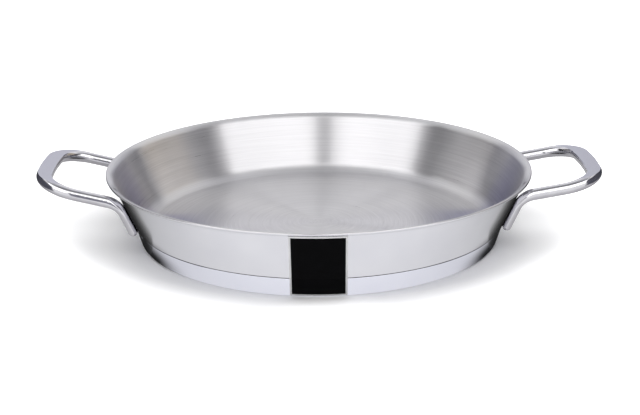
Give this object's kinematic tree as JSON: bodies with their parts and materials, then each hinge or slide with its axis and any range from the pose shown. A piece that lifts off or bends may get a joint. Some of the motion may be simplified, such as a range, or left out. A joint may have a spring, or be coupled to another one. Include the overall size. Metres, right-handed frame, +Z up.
{
  "type": "two-handled pan",
  "caption": "Shallow round pan with a slanting wall, a rolled lip, an encapsulated base and a looped bar handle on each side.",
  "frame": {"origin": "centre of the flat ring that the pan stands on", "axes": "+Z up out of the pan, +X along the handles, towards the right handle; the label faces -Y"},
  "size_m": [0.3163, 0.24, 0.043],
  "materials": {
    "shell_steel": "stainless steel, spun satin grain inside, polished outside",
    "cap_steel": "stainless steel, polished side, turned grain on the underside",
    "core_aluminium": "plain, sealed inside the base",
    "handle_steel": "polished stainless steel, satin where the grip is pressed flat",
    "weld_steel": "fused steel, hidden between foot and wall",
    "label_film": "black film with a thin white border, nothing printed on it"
  },
  "bodies": {
    "root": {"pan_body": "shell_steel", "base_cap": "cap_steel", "heat_core_disc": "core_aluminium", "right_handle": "handle_steel", "left_handle": "handle_steel", "right_handle_spot_welds": "weld_steel", "left_handle_spot_welds": "weld_steel", "label": "label_film"}
  },
  "joints": []
}
